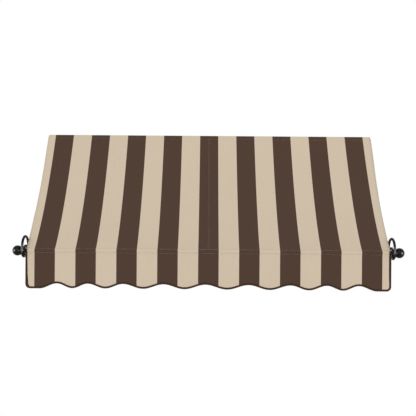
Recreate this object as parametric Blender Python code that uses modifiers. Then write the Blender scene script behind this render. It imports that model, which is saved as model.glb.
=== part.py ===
"""A fixed, open-sided window awning: canvas hung between two steel tubes, held off the wall by two
forged scroll arms. Metres, +Z up. The wall is the plane Y = 0, the front faces -Y, and X = 0 is the
middle. The origin lies on the back of the middle top bracket, level with the top tube's axis."""

import math

import bmesh
import bpy
from mathutils import Vector

# Overall
PROJECTION = 0.6096  # wall to the foremost cloth
RISE = 0.614  # front tube's axis up to the top tube's axis
CANOPY_WIDTH = 1.809
CANOPY_SAG = 0.056  # how far the canopy hangs below a straight line, measured upright
CLEARANCE = 0.0003  # between neighbouring pieces

# Cloth
CLOTH = 0.0008
TOP_POCKET_REACH = 0.020  # along the canopy from the top tube to the pocket's stitches
TOP_POCKET_LAP = 0.012  # hem beyond the stitches
FRONT_WRAP = math.radians(16)  # how far the canopy's front edge goes on round the front tube
SLEEVE_TUCK = math.radians(15)  # how far the sleeve's end goes up behind the valance
SLOPE_SPANS = 18

# Valance
VALANCE_OVERHANG = 0.0025  # past the canopy's side
VALANCE_LAP = 0.006  # over the canopy, above the front tube
VALANCE_DROP = 0.1877  # front tube's axis to the valance's straight ends
VALANCE_CORNER = 0.022
POCKET_TURN = math.radians(40)  # how far the valance follows the front tube below its axis
POCKET_COVE = 0.006
STRAIGHT_END = 0.0875  # uncut length at each end of the lower edge
SCALLOP_PITCHES = (0.211, 0.204, 0.177, 0.155)  # crest to crest, from the middle outwards
LAST_FALL = 0.069  # outermost crest down to the straight end
MIDDLE_CREST = 0.0107  # from the valance's middle to the middle crest, to the left
SCALLOP_RISE = 0.0255
SCALLOP_DIP = 0.0025
HEM_SPANS = 124
BINDING_WIDTH = 0.0085
BINDING_CLOTH = 0.0006

# Tubes
TUBE_RADIUS = 0.0095
TUBE_WALL = 0.0015
TOP_TUBE_INSET = 0.012  # from the canopy's side to the end of the top tube
PLUG_FLANGE = 0.0025
PLUG_DEPTH = 0.014
PLUG_BEVEL = 0.0008

# Top brackets
STANDOFF = 0.022  # wall to the top tube's axis
BRACKET_INSET = 0.1045  # from the canopy's side to the middle of an outer bracket
BRACKET_WIDTH = 0.022
BRACKET_TOP = 0.0095
BRACKET_DROP = 0.060
BRACKET_BACK = 0.0035
BRACKET_NECK = 0.010
BRACKET_HOLES = (0.026, 0.048)  # below the tube's axis
SADDLE_WALL = 0.003
SADDLE_START = math.radians(150)
SADDLE_END = math.radians(345)
NOTCH_MARGIN = 0.003  # between a bracket and the edge of the pocket's opening

# Arms
ROD_RADIUS = 0.00635
RING_GAP = 0.013  # from the canopy's side to the middle of the ring
RING_RADIUS = 0.029
ARCH_RADIUS = 0.0495
ARCH_TOP = 0.070  # above the front tube's axis
TOE_IN = math.atan(0.1)
ARM_DROP = 0.115  # front tube's axis down to where the arm meets the wall plate
ARM_REACH = 0.25  # how far behind the front tube the arm levels out
KNOB_RADIUS = 0.009
KNOB_BASE = 0.013
KNOB_TOP = 0.028
KNOB_BEVEL = 0.0025
WELD = 0.004  # the arm's last stretch, square to the wall, where it swells into its weld
WELD_RADIUS = 0.009

# Wall plates of the arms
PLATE_WIDTH = 0.038
PLATE_HEIGHT = 0.130
PLATE_THICKNESS = 0.005
PLATE_BEVEL = 0.0008
PLATE_HOLE = 0.046  # from the plate's middle

# Finials, measured outwards from the middle of the arm's ring
COLLAR_PLAY = 0.0006  # round the collar, inside the ring
COLLAR_INNER = -0.008
COLLAR_OUTER = 0.0155
COLLAR_BEVEL = 0.001
NECK_RADIUS = 0.0203
BALL_RADIUS = 0.0256
BALL_CENTRE = 0.0315
BORE_END = 0.017

# Screws
WALL_SCREW_RADIUS = 0.003
WALL_SCREW_LENGTH = 0.045
WALL_SCREW_POINT = 0.006
HEX_ACROSS_FLATS = 0.010
HEX_TAPER = 0.95
HEX_HEIGHT = 0.004
WASHER_RADIUS = 0.0065
WASHER_HEIGHT = 0.0013
CLAMP_RADIUS = 0.0025
CLAMP_BEVEL = 0.0005
CLAMP_HEAD = (0.0045, 0.003)  # radius and height
KEY_RADIUS = 0.0014
KEY_DEPTH = 0.0018

CUT = 0.01  # how far a cutter runs past what it cuts
MERGE = 0.00001

SHEET_RADIUS = TUBE_RADIUS + CLEARANCE + CLOTH / 2
LAYER = CLOTH + CLEARANCE  # between the middles of two layers of cloth
VALANCE_RADIUS = SHEET_RADIUS + LAYER
TOP_AXIS = (-STANDOFF, 0.0)
FRONT_AXIS = (-PROJECTION + VALANCE_RADIUS + CLOTH / 2, -RISE)
CANOPY_HALF = CANOPY_WIDTH / 2
VALANCE_HALF = CANOPY_HALF + VALANCE_OVERHANG
HEM_Z = -RISE - VALANCE_DROP
RING_X = CANOPY_HALF + RING_GAP
BRACKET_X = CANOPY_HALF - BRACKET_INSET
BORE_RADIUS = TUBE_RADIUS + CLEARANCE
SADDLE_OUTER = BORE_RADIUS + SADDLE_WALL
SCREW_HOLE_RADIUS = WALL_SCREW_RADIUS + CLEARANCE
CLAMP_HOLE_RADIUS = CLAMP_RADIUS + CLEARANCE
PLATE_FACE = PLATE_THICKNESS + CLEARANCE
ARM_LENGTH = -(FRONT_AXIS[0] + PLATE_FACE) / math.cos(TOE_IN)
ARM_FOOT_X = RING_X - (ARM_LENGTH - WELD) * math.sin(TOE_IN)
SIDES = (("left", -1), ("right", 1))
BRACKET_PLACES = (("left", -BRACKET_X), ("centre", 0.0), ("right", BRACKET_X))


def clear_scene():
    for existing in list(bpy.data.objects):
        bpy.data.objects.remove(existing, do_unlink=True)


def new_collection(name):
    collection = bpy.data.collections.new(name)
    bpy.context.scene.collection.children.link(collection)
    return collection


def new_material(name, colour, roughness, metallic=0.0):
    material = bpy.data.materials.new(name)
    material.use_nodes = True
    shader = material.node_tree.nodes["Principled BSDF"]
    shader.inputs["Base Color"].default_value = (*colour, 1.0)
    shader.inputs["Roughness"].default_value = roughness
    shader.inputs["Metallic"].default_value = metallic
    return material


clear_scene()
PARTS = new_collection("awning")
CUTTERS = new_collection("cutters")
STRIPED_CANVAS = ("striped canvas", (0.36, 0.28, 0.21), 0.9)
BROWN_TAPE = ("brown binding tape", (0.055, 0.026, 0.019), 0.85)
BLACK_STEEL = ("black painted steel", (0.018, 0.018, 0.019), 0.4, 0.0)
BLACK_PLASTIC = ("black plastic", (0.02, 0.02, 0.02), 0.5)
DARK_SCREW = ("blackened screw steel", (0.05, 0.05, 0.055), 0.35, 1.0)


def add_part(name, data, finish):
    """Each piece has a material of its own, named after it and its finish."""
    part = bpy.data.objects.new(name, data)
    PARTS.objects.link(part)
    label, *look = finish
    part.data.materials.append(new_material(f"{name} {label}", *look))
    return part


def cut_away(part, cutter):
    modifier = part.modifiers.new("cut " + cutter.name, "BOOLEAN")
    modifier.object = cutter
    modifier.operation = "DIFFERENCE"
    modifier.solver = "EXACT"


def as_cutter(name, mesh):
    cutter = bpy.data.objects.new(name, mesh)
    CUTTERS.objects.link(cutter)
    cutter.hide_render = True
    cutter.display_type = "WIRE"
    return cutter


def round_cutter(name, centre, direction, radius, length, sides=16):
    """A drill along a direction, centred on a point."""
    bm = bmesh.new()
    bmesh.ops.create_cone(
        bm, cap_ends=True, segments=sides, radius1=radius, radius2=radius, depth=length
    )
    mesh = bpy.data.meshes.new(name)
    bm.to_mesh(mesh)
    bm.free()
    cutter = as_cutter(name, mesh)
    cutter.rotation_euler = Vector(direction).to_track_quat("Z", "Y").to_euler()
    cutter.location = centre
    return cutter


def extruded(name, outline, half_width):
    """A closed mesh from a flat (Y, Z) outline, as wide along X as twice half_width."""
    curve = bpy.data.curves.new(name, "CURVE")
    curve.dimensions = "2D"
    curve.fill_mode = "BOTH"
    curve.extrude = half_width
    spline = curve.splines.new("POLY")
    spline.points.add(len(outline) - 1)
    for point, (y, z) in zip(spline.points, outline):
        point.co = (y, z, 0.0, 1.0)
    spline.use_cyclic_u = True
    guide = bpy.data.objects.new(name + " outline", curve)
    bpy.context.scene.collection.objects.link(guide)
    guide.rotation_euler = (math.pi / 2, 0.0, math.pi / 2)
    bpy.context.view_layer.update()
    graph = bpy.context.evaluated_depsgraph_get()
    mesh = bpy.data.meshes.new_from_object(guide.evaluated_get(graph))
    mesh.transform(guide.matrix_world)
    bpy.data.objects.remove(guide)
    bm = bmesh.new()
    bm.from_mesh(mesh)
    bmesh.ops.remove_doubles(bm, verts=bm.verts, dist=MERGE)
    bmesh.ops.recalc_face_normals(bm, faces=bm.faces)
    bm.to_mesh(mesh)
    bm.free()
    mesh.name = name
    return mesh


def turned(name, profile, finish, sides=24, closed=False):
    """A profile of (radius, height) pairs, outer side from top to bottom, turned about its own Z."""
    mesh = bpy.data.meshes.new(name)
    bm = bmesh.new()
    points = [bm.verts.new((radius, 0.0, height)) for radius, height in profile]
    for here, after in zip(points, points[1:]):
        bm.edges.new((here, after))
    if closed:
        bm.edges.new((points[-1], points[0]))
    bm.to_mesh(mesh)
    bm.free()
    part = add_part(name, mesh, finish)
    screw = part.modifiers.new("turn", "SCREW")
    screw.axis = "Z"
    screw.steps = sides
    screw.render_steps = sides
    screw.use_merge_vertices = True
    screw.merge_threshold = MERGE
    screw.use_smooth_shade = True
    return part


def circle_point(centre, radius, angle):
    """A (Y, Z) point: angle 0 faces the front, and a quarter turn faces up."""
    return (
        centre[0] - radius * math.cos(angle),
        centre[1] + radius * math.sin(angle),
    )


def arc(centre, radius, start, end, steps):
    turn = (end - start) / steps
    return [circle_point(centre, radius, start + turn * i) for i in range(steps + 1)]


def hanging_line():
    """Where the sagging canopy leaves the two tubes: (front angle, top angle, front point, run, climb)."""
    front_angle = top_angle = math.radians(45)
    for _ in range(30):
        front = circle_point(FRONT_AXIS, SHEET_RADIUS, front_angle)
        top = circle_point(TOP_AXIS, SHEET_RADIUS, top_angle)
        run, climb = top[0] - front[0], top[1] - front[1]
        chord, bend = climb / run, 4 * CANOPY_SAG / run
        front_angle = math.pi / 2 - math.atan(chord - bend)
        top_angle = math.pi / 2 - math.atan(chord + bend)
    return front_angle, top_angle, front, run, climb


FRONT_ANGLE, TOP_ANGLE, CANOPY_FRONT, CANOPY_RUN, CANOPY_CLIMB = hanging_line()


def canopy_point(share, outwards=0.0):
    """A (Y, Z) point on the hanging canopy, from 0 at the front tube to 1 at the top tube."""
    y = CANOPY_FRONT[0] + CANOPY_RUN * share
    z = CANOPY_FRONT[1] + CANOPY_CLIMB * share - 4 * CANOPY_SAG * share * (1 - share)
    slope = (CANOPY_CLIMB - 4 * CANOPY_SAG * (1 - 2 * share)) / CANOPY_RUN
    tilt = math.atan(slope)
    return (y - outwards * math.sin(tilt), z + outwards * math.cos(tilt))


def share_along(distance, angle):
    return distance * math.sin(angle) / CANOPY_RUN


def top_pocket_path():
    """The hem under the canopy, then round the top tube from below and behind to its top."""
    lap_share = 1 - share_along(TOP_POCKET_REACH + TOP_POCKET_LAP, TOP_ANGLE)
    stitch_share = 1 - share_along(TOP_POCKET_REACH, TOP_ANGLE)
    stitch = canopy_point(stitch_share, -LAYER)
    forward, up = TOP_AXIS[0] - stitch[0], stitch[1] - TOP_AXIS[1]
    meets = math.atan2(up, forward) - math.acos(SHEET_RADIUS / math.hypot(forward, up))
    return [canopy_point(lap_share, -LAYER), stitch] + arc(
        TOP_AXIS, SHEET_RADIUS, meets, TOP_ANGLE - 2 * math.pi, 20
    )


def canopy_path():
    slope = [canopy_point(1 - i / SLOPE_SPANS) for i in range(1, SLOPE_SPANS)]
    over_front = arc(FRONT_AXIS, SHEET_RADIUS, FRONT_ANGLE, FRONT_ANGLE - FRONT_WRAP, 2)
    return top_pocket_path() + slope + over_front


def valance_path(bottom):
    """Down over the front tube's pocket, through a small cove, then plumb."""
    lap = share_along(VALANCE_LAP, FRONT_ANGLE)
    cove = circle_point(FRONT_AXIS, VALANCE_RADIUS + POCKET_COVE, -POCKET_TURN)
    return (
        [canopy_point(lap, LAYER)]
        + arc(FRONT_AXIS, VALANCE_RADIUS, FRONT_ANGLE, -POCKET_TURN, 8)
        + arc(cove, POCKET_COVE, math.pi - POCKET_TURN, math.pi, 3)[1:]
        + [(cove[0] + POCKET_COVE, bottom)]
    )


VALANCE_Y = valance_path(HEM_Z)[-1][0]


def sheet(name, path, x_start, x_end, finish):
    """Cloth that follows a (Y, Z) path and runs straight along X."""
    bm = bmesh.new()
    edge = [bm.verts.new((x_start, y, z)) for y, z in path]
    line = [bm.edges.new(pair) for pair in zip(edge, edge[1:])]
    swept = bmesh.ops.extrude_edge_only(bm, edges=line)["geom"]
    moved = [item for item in swept if isinstance(item, bmesh.types.BMVert)]
    bmesh.ops.translate(bm, verts=moved, vec=(x_end - x_start, 0.0, 0.0))
    mesh = bpy.data.meshes.new(name)
    bm.to_mesh(mesh)
    bm.free()
    part = add_part(name, mesh, finish)
    thicken(part, CLOTH)
    return part


def thicken(part, thickness):
    solidify = part.modifiers.new("cloth thickness", "SOLIDIFY")
    solidify.thickness = thickness
    solidify.offset = 0.0
    solidify.use_even_offset = True


def pocket_notches():
    """The openings in the back and bottom of the top pocket that let the brackets reach the tube.
    Each is cut away behind the tube up to the saddle's upper end, and below it up to the saddle's lip."""
    behind = TOP_AXIS[0] + SHEET_RADIUS / 2
    lip = circle_point(TOP_AXIS, SADDLE_OUTER, SADDLE_END)
    front = lip[0] - NOTCH_MARGIN
    top = circle_point(TOP_AXIS, SADDLE_OUTER, SADDLE_START)[1] + NOTCH_MARGIN
    bottom = -SADDLE_OUTER - CUT
    outline = [(front, bottom), (CUT, bottom), (CUT, top)]
    outline += [(behind, top), (behind, lip[1]), (front, lip[1])]
    notches = {}
    for place, x in BRACKET_PLACES:
        mesh = extruded(f"notch {place}", outline, BRACKET_WIDTH / 2 + NOTCH_MARGIN)
        notches[place] = as_cutter(f"notch {place}", mesh)
        notches[place].location.x = x
    return notches


def make_canopy():
    notches = pocket_notches()
    seam = CLEARANCE / 2
    left = sheet("canopy_panel_left", canopy_path(), -CANOPY_HALF, -seam, STRIPED_CANVAS)
    right = sheet("canopy_panel_right", canopy_path(), seam, CANOPY_HALF, STRIPED_CANVAS)
    for panel, places in ((left, ("left", "centre")), (right, ("centre", "right"))):
        for place in places:
            cut_away(panel, notches[place])


def make_front_sleeve():
    """The strip sewn on behind the front tube, from the upper row of stitches to the lower one."""
    start = FRONT_ANGLE + math.acos(SHEET_RADIUS / (SHEET_RADIUS + LAYER))
    end = 2 * math.pi - POCKET_TURN + SLEEVE_TUCK
    path = arc(FRONT_AXIS, SHEET_RADIUS, start, end, 20)
    sheet("front_pocket_sleeve", path, -CANOPY_HALF, CANOPY_HALF, STRIPED_CANVAS)


def scallop(x):
    """Height of the valance's lower edge above its straight ends."""
    pattern = sum(SCALLOP_PITCHES) + LAST_FALL
    from_crest = x + MIDDLE_CREST
    half = VALANCE_HALF - STRAIGHT_END + math.copysign(MIDDLE_CREST, from_crest)
    left_over = abs(from_crest) * pattern / half
    for pitch in SCALLOP_PITCHES:
        if left_over < pitch:
            wave = (1 + math.cos(2 * math.pi * left_over / pitch)) / 2
            return SCALLOP_DIP + (SCALLOP_RISE - SCALLOP_DIP) * wave
        left_over -= pitch
    if left_over < LAST_FALL:
        return SCALLOP_RISE * (1 + math.cos(math.pi * left_over / LAST_FALL)) / 2
    return 0.0


def hem_stations():
    """(X, Z) points along the valance's lower edge, from the left side to the right."""
    reach = VALANCE_HALF - VALANCE_CORNER
    centre_z = HEM_Z + VALANCE_CORNER
    corner = [
        (
            reach + VALANCE_CORNER * math.cos(math.radians(turn)),
            centre_z + VALANCE_CORNER * math.sin(math.radians(turn)),
        )
        for turn in (0, -22.5, -45, -67.5)
    ]
    wave = []
    for i in range(HEM_SPANS + 1):
        x = -reach + 2 * reach * i / HEM_SPANS
        wave.append((x, HEM_Z + scallop(x)))
    return [(-x, z) for x, z in corner] + wave + corner[::-1]


def make_valance():
    """One strip across the whole front, cut to scallops along its lower edge."""
    below = HEM_Z - CUT
    path = valance_path(below)
    valance = sheet("valance", path, -VALANCE_HALF, VALANCE_HALF, STRIPED_CANVAS)
    hem = hem_stations()
    outer = VALANCE_HALF + CUT
    outline = [(-outer, hem[0][1])] + hem + [(outer, hem[-1][1])]
    outline += [(outer, below - CUT), (-outer, below - CUT)]
    bm = bmesh.new()
    face = bm.faces.new([bm.verts.new((x, VALANCE_Y - CUT, z)) for x, z in outline])
    swept = bmesh.ops.extrude_face_region(bm, geom=[face])["geom"]
    moved = [item for item in swept if isinstance(item, bmesh.types.BMVert)]
    bmesh.ops.translate(bm, verts=moved, vec=(0.0, 2 * CUT, 0.0))
    bmesh.ops.recalc_face_normals(bm, faces=bm.faces)
    mesh = bpy.data.meshes.new("scallops")
    bm.to_mesh(mesh)
    bm.free()
    cut_away(valance, as_cutter("scallops", mesh))


def make_binding():
    """Tape folded over the valance's lower edge and up both its sides to the pocket's stitches."""
    top = HEM_Z + VALANCE_DROP - (VALANCE_RADIUS + POCKET_COVE) * math.sin(POCKET_TURN)
    edge = [(-VALANCE_HALF, top)] + hem_stations() + [(VALANCE_HALF, top)]
    fold = CLOTH / 2 + CLEARANCE + BINDING_CLOTH / 2
    section = ((BINDING_WIDTH, fold), (-fold, fold), (-fold, -fold), (BINDING_WIDTH, -fold))
    bm = bmesh.new()
    rows = []
    for i, (x, z) in enumerate(edge):
        before, after = edge[max(i - 1, 0)], edge[min(i + 1, len(edge) - 1)]
        along = Vector((after[0] - before[0], after[1] - before[1])).normalized()
        rows.append(
            [
                bm.verts.new((x - along.y * inwards, VALANCE_Y + back, z + along.x * inwards))
                for inwards, back in section
            ]
        )
    for row, following in zip(rows, rows[1:]):
        for i in range(len(section) - 1):
            bm.faces.new((row[i], row[i + 1], following[i + 1], following[i]))
    mesh = bpy.data.meshes.new("valance_binding")
    bm.to_mesh(mesh)
    bm.free()
    thicken(add_part("valance_binding", mesh, BROWN_TAPE), BINDING_CLOTH)


def make_tube(name, half_length, axis):
    inner = TUBE_RADIUS - TUBE_WALL
    profile = [
        (TUBE_RADIUS, half_length),
        (TUBE_RADIUS, -half_length),
        (inner, -half_length),
        (inner, half_length),
    ]
    tube = turned(name, profile, BLACK_STEEL, closed=True)
    tube.rotation_euler = (0.0, math.pi / 2, 0.0)
    tube.location = (0.0, *axis)


def make_tubes():
    half = CANOPY_HALF - TOP_TUBE_INSET
    make_tube("top_tube", half, TOP_AXIS)
    make_tube("front_tube", RING_X + BORE_END - CLEARANCE, FRONT_AXIS)
    stem = TUBE_RADIUS - TUBE_WALL - CLEARANCE
    profile = [
        (0.0, PLUG_FLANGE),
        (TUBE_RADIUS - PLUG_BEVEL, PLUG_FLANGE),
        (TUBE_RADIUS, PLUG_FLANGE - PLUG_BEVEL),
        (TUBE_RADIUS, 0.0),
        (stem, 0.0),
        (stem, PLUG_BEVEL - PLUG_DEPTH),
        (stem - PLUG_BEVEL, -PLUG_DEPTH),
        (0.0, -PLUG_DEPTH),
    ]
    for place, side in SIDES:
        plug = turned(f"top_tube_plug_{place}", profile, BLACK_PLASTIC)
        plug.rotation_euler = (0.0, side * math.pi / 2, 0.0)
        plug.location = (side * (half + CLEARANCE), *TOP_AXIS)


def bracket_outline():
    """The bracket's section: a back plate, a short neck, and a saddle that opens up and forwards."""
    join = math.asin(BRACKET_NECK / 2 / SADDLE_OUTER)
    outline = [(0.0, -BRACKET_DROP), (0.0, BRACKET_TOP), (-BRACKET_BACK, BRACKET_TOP)]
    outline += [(-BRACKET_BACK, BRACKET_NECK / 2)]
    outline += arc(TOP_AXIS, SADDLE_OUTER, math.pi - join, SADDLE_START, 1)
    outline += arc(TOP_AXIS, BORE_RADIUS, SADDLE_START, SADDLE_END, 20)
    outline += arc(TOP_AXIS, SADDLE_OUTER, SADDLE_END, math.pi + join, 16)
    outline += [(-BRACKET_BACK, -BRACKET_NECK / 2), (-BRACKET_BACK, -BRACKET_DROP)]
    return outline


def make_wall_screw(name, x, z, seat):
    """A hex-head screw with a washer face, driven towards +Y, its washer face at -seat."""
    hex_radius = HEX_ACROSS_FLATS / math.sqrt(3)
    profile = [
        (0.0, WASHER_HEIGHT),
        (WASHER_RADIUS, WASHER_HEIGHT),
        (WASHER_RADIUS, 0.0),
        (WALL_SCREW_RADIUS, 0.0),
        (WALL_SCREW_RADIUS, WALL_SCREW_POINT - WALL_SCREW_LENGTH),
        (0.0, -WALL_SCREW_LENGTH),
    ]
    screw = turned(name, profile, DARK_SCREW, sides=12)
    bm = bmesh.new()
    tip_radius = hex_radius * HEX_TAPER
    bmesh.ops.create_cone(
        bm, cap_ends=True, segments=6, radius1=hex_radius, radius2=tip_radius, depth=HEX_HEIGHT
    )
    bmesh.ops.translate(bm, verts=bm.verts, vec=(0.0, 0.0, (HEX_HEIGHT + WASHER_HEIGHT) / 2))
    mesh = bpy.data.meshes.new(name + " head")
    bm.to_mesh(mesh)
    bm.free()
    head = as_cutter(name + " head", mesh)
    join = screw.modifiers.new("hex head", "BOOLEAN")
    join.operation = "UNION"
    join.object = head
    for piece in (screw, head):
        piece.rotation_euler = (math.pi / 2, 0.0, 0.0)
        piece.location = (x, -seat, z)


def make_clamp_screw(name, location, rotation, length, head=None):
    """A screw whose tip meets a tube, with a hexagon socket; its own +Z points out of its hole.
    The head is a (radius, height) pair, or none for a set screw."""
    radius, height = head or (CLAMP_RADIUS, 0.0)
    profile = [(0.0, height), (radius - CLAMP_BEVEL, height), (radius, height - CLAMP_BEVEL)]
    if head:
        profile += [(radius, 0.0), (CLAMP_RADIUS, 0.0)]
    profile += [
        (CLAMP_RADIUS, CLAMP_BEVEL - length),
        (CLAMP_RADIUS - CLAMP_BEVEL, -length),
        (0.0, -length),
    ]
    screw = turned(name, profile, DARK_SCREW, sides=16)
    bm = bmesh.new()
    bmesh.ops.create_cone(
        bm, cap_ends=True, segments=6, radius1=KEY_RADIUS, radius2=KEY_RADIUS, depth=2 * KEY_DEPTH
    )
    bmesh.ops.translate(bm, verts=bm.verts, vec=(0.0, 0.0, height))
    mesh = bpy.data.meshes.new(name + " socket")
    bm.to_mesh(mesh)
    bm.free()
    socket = as_cutter(name + " socket", mesh)
    cut_away(screw, socket)
    for piece in (screw, socket):
        piece.location = location
        piece.rotation_euler = rotation


def make_brackets():
    outline = bracket_outline()
    seat = SADDLE_OUTER + CLEARANCE
    for place, x in BRACKET_PLACES:
        name = f"top_bracket_{place}"
        bracket = add_part(name, extruded(name, outline, BRACKET_WIDTH / 2), BLACK_STEEL)
        bracket.location.x = x
        for row, drop in zip(("upper", "lower"), BRACKET_HOLES):
            centre = (x, 0.0, -drop)
            drill = round_cutter(f"{name} {row} hole", centre, (0, 1, 0), SCREW_HOLE_RADIUS, 2 * CUT)
            cut_away(bracket, drill)
            make_wall_screw(f"{name}_{row}_screw", x, -drop, BRACKET_BACK + CLEARANCE)
        below = (x, TOP_AXIS[0], -SADDLE_OUTER)
        drill = round_cutter(f"{name} clamp hole", below, (0, 0, 1), CLAMP_HOLE_RADIUS, CUT)
        cut_away(bracket, drill)
        make_clamp_screw(
            f"{name}_clamp_screw",
            (x, TOP_AXIS[0], -seat),
            (math.pi, 0.0, 0.0),
            seat - BORE_RADIUS,
            CLAMP_HEAD,
        )


def finial_profile(collar):
    """(radius, distance out from the ring's middle), from the ball's tip round to the bottom of the bore."""
    steps = 14
    reach = math.pi - math.asin(NECK_RADIUS / BALL_RADIUS)
    profile = []
    for i in range(steps + 1):
        turn = reach * i / steps
        profile.append((BALL_RADIUS * math.sin(turn), BALL_CENTRE + BALL_RADIUS * math.cos(turn)))
    return profile + [
        (NECK_RADIUS, COLLAR_OUTER),
        (collar - COLLAR_BEVEL, COLLAR_OUTER),
        (collar, COLLAR_OUTER - COLLAR_BEVEL),
        (collar, COLLAR_INNER + COLLAR_BEVEL),
        (collar - COLLAR_BEVEL, COLLAR_INNER),
        (BORE_RADIUS, COLLAR_INNER),
        (BORE_RADIUS, BORE_END),
        (0.0, BORE_END),
    ]


def make_finials():
    """Turned in one piece: a collar that fills the arm's ring, a neck and a ball, bored for the tube.
    A set screw in the collar, between ring and ball, holds it on the tube from behind."""
    collar = RING_RADIUS - ROD_RADIUS - COLLAR_PLAY
    screw_out = (COLLAR_OUTER + ROD_RADIUS + RING_RADIUS * math.sin(TOE_IN)) / 2
    length = collar - BORE_RADIUS - COLLAR_BEVEL
    for place, side in SIDES:
        finial = turned(f"finial_{place}", finial_profile(collar), BLACK_STEEL, sides=28)
        finial.rotation_euler = (0.0, side * math.pi / 2, 0.0)
        finial.location = (side * RING_X, *FRONT_AXIS)
        screw_x = side * (RING_X + screw_out)
        drill = round_cutter(
            f"finial {place} screw hole",
            (screw_x, FRONT_AXIS[0] + collar, FRONT_AXIS[1]),
            (0, 1, 0),
            CLAMP_HOLE_RADIUS,
            2 * (collar - TUBE_RADIUS - CLEARANCE / 2),
        )
        cut_away(finial, drill)
        make_clamp_screw(
            f"finial_set_screw_{place}",
            (screw_x, FRONT_AXIS[0] + BORE_RADIUS + length, FRONT_AXIS[1]),
            (-math.pi / 2, 0.0, 0.0),
            length,
        )


def bezier(start, pull, push, end, steps):
    """Points on a cubic curve, leaving out its start."""
    points = []
    for i in range(1, steps + 1):
        t = i / steps
        weights = ((1 - t) ** 3, 3 * t * (1 - t) ** 2, 3 * t * t * (1 - t), t**3)
        corners = (start, pull, push, end)
        points.append(
            tuple(sum(w * corner[axis] for w, corner in zip(weights, corners)) for axis in (0, 1))
        )
    return points


def arm_path():
    """(back, up, radius) along one forged rod, about the front tube's axis in the arm's own plane. From a
    knob behind the tube it rings the tube from below, arches back over it and runs to the wall."""
    arch_z = ARCH_TOP - ARCH_RADIUS
    arch_back = 2 * ARCH_RADIUS - RING_RADIUS
    path = [
        (RING_RADIUS, KNOB_TOP, KNOB_RADIUS - KNOB_BEVEL),
        (RING_RADIUS, KNOB_TOP - KNOB_BEVEL, KNOB_RADIUS),
        (RING_RADIUS, KNOB_BASE + KNOB_BEVEL, KNOB_RADIUS),
        (RING_RADIUS, KNOB_BASE, ROD_RADIUS),
    ]
    ring_steps = 16
    for i in range(ring_steps + 1):
        turn = math.pi * i / ring_steps
        path.append((RING_RADIUS * math.cos(turn), -RING_RADIUS * math.sin(turn), ROD_RADIUS))
    arch_steps = 14
    for i in range(arch_steps + 1):
        turn = math.pi * i / arch_steps
        back = ARCH_RADIUS - RING_RADIUS - ARCH_RADIUS * math.cos(turn)
        path.append((back, arch_z + ARCH_RADIUS * math.sin(turn), ROD_RADIUS))
    foot = (arch_back, -arch_z)
    end = (ARM_LENGTH - WELD, -ARM_DROP)
    run = [foot] + bezier(foot, (arch_back, -ARM_DROP), (ARM_REACH, -ARM_DROP), end, 20)
    path += [(back, up, ROD_RADIUS) for back, up in run]
    path.append((ARM_LENGTH, -ARM_DROP, WELD_RADIUS))
    return path


def make_arms():
    for place, side in SIDES:
        name = f"arm_{place}"
        curve = bpy.data.curves.new(name, "CURVE")
        curve.dimensions = "3D"
        curve.bevel_depth = ROD_RADIUS
        curve.bevel_resolution = 4
        curve.use_fill_caps = True
        path = arm_path()
        spline = curve.splines.new("POLY")
        spline.points.add(len(path) - 1)
        for point, (back, up, radius) in zip(spline.points, path):
            x = side * (RING_X - min(back, ARM_LENGTH - WELD) * math.sin(TOE_IN))
            point.co = (x, FRONT_AXIS[0] + back * math.cos(TOE_IN), FRONT_AXIS[1] + up, 1.0)
            point.radius = radius / ROD_RADIUS
        add_part(name, curve, BLACK_STEEL)


def plate_outline():
    """(X, Z) round a flat bar with half-round ends."""
    end_radius = PLATE_WIDTH / 2
    straight = PLATE_HEIGHT / 2 - end_radius
    turns = 12
    outline = []
    for end in (1, -1):
        for i in range(turns + 1):
            turn = math.pi * i / turns
            x = end_radius * math.cos(turn)
            outline.append((end * x, end * (straight + end_radius * math.sin(turn))))
    return outline


def make_wall_plates():
    """Flat bar, drilled above and below the arm; its front edge is eased."""
    middle_z = FRONT_AXIS[1] - ARM_DROP
    for place, side in SIDES:
        name = f"arm_wall_plate_{place}"
        bm = bmesh.new()
        back = bm.faces.new([bm.verts.new((x, 0.0, z)) for x, z in plate_outline()])
        swept = bmesh.ops.extrude_face_region(bm, geom=[back])["geom"]
        front = [item for item in swept if isinstance(item, bmesh.types.BMVert)]
        bmesh.ops.translate(bm, verts=front, vec=(0.0, -PLATE_THICKNESS, 0.0))
        rim = [edge for edge in bm.edges if all(vertex in front for vertex in edge.verts)]
        bmesh.ops.bevel(bm, geom=rim, offset=PLATE_BEVEL, segments=1, affect="EDGES")
        bmesh.ops.recalc_face_normals(bm, faces=bm.faces)
        mesh = bpy.data.meshes.new(name)
        bm.to_mesh(mesh)
        bm.free()
        plate = add_part(name, mesh, BLACK_STEEL)
        x = side * ARM_FOOT_X
        plate.location = (x, 0.0, middle_z)
        for row, offset in (("upper", PLATE_HOLE), ("lower", -PLATE_HOLE)):
            z = middle_z + offset
            drill = round_cutter(f"{name} {row} hole", (x, 0.0, z), (0, 1, 0), SCREW_HOLE_RADIUS, 2 * CUT)
            cut_away(plate, drill)
            make_wall_screw(f"{name}_{row}_screw", x, z, PLATE_FACE)


make_canopy()
make_front_sleeve()
make_valance()
make_binding()
make_tubes()
make_brackets()
make_finials()
make_arms()
make_wall_plates()
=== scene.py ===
"""A window awning: striped canvas that sags between two steel tubes, held out by forged arms."""

import math

import bmesh
import bpy
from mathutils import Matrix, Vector, noise


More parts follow.
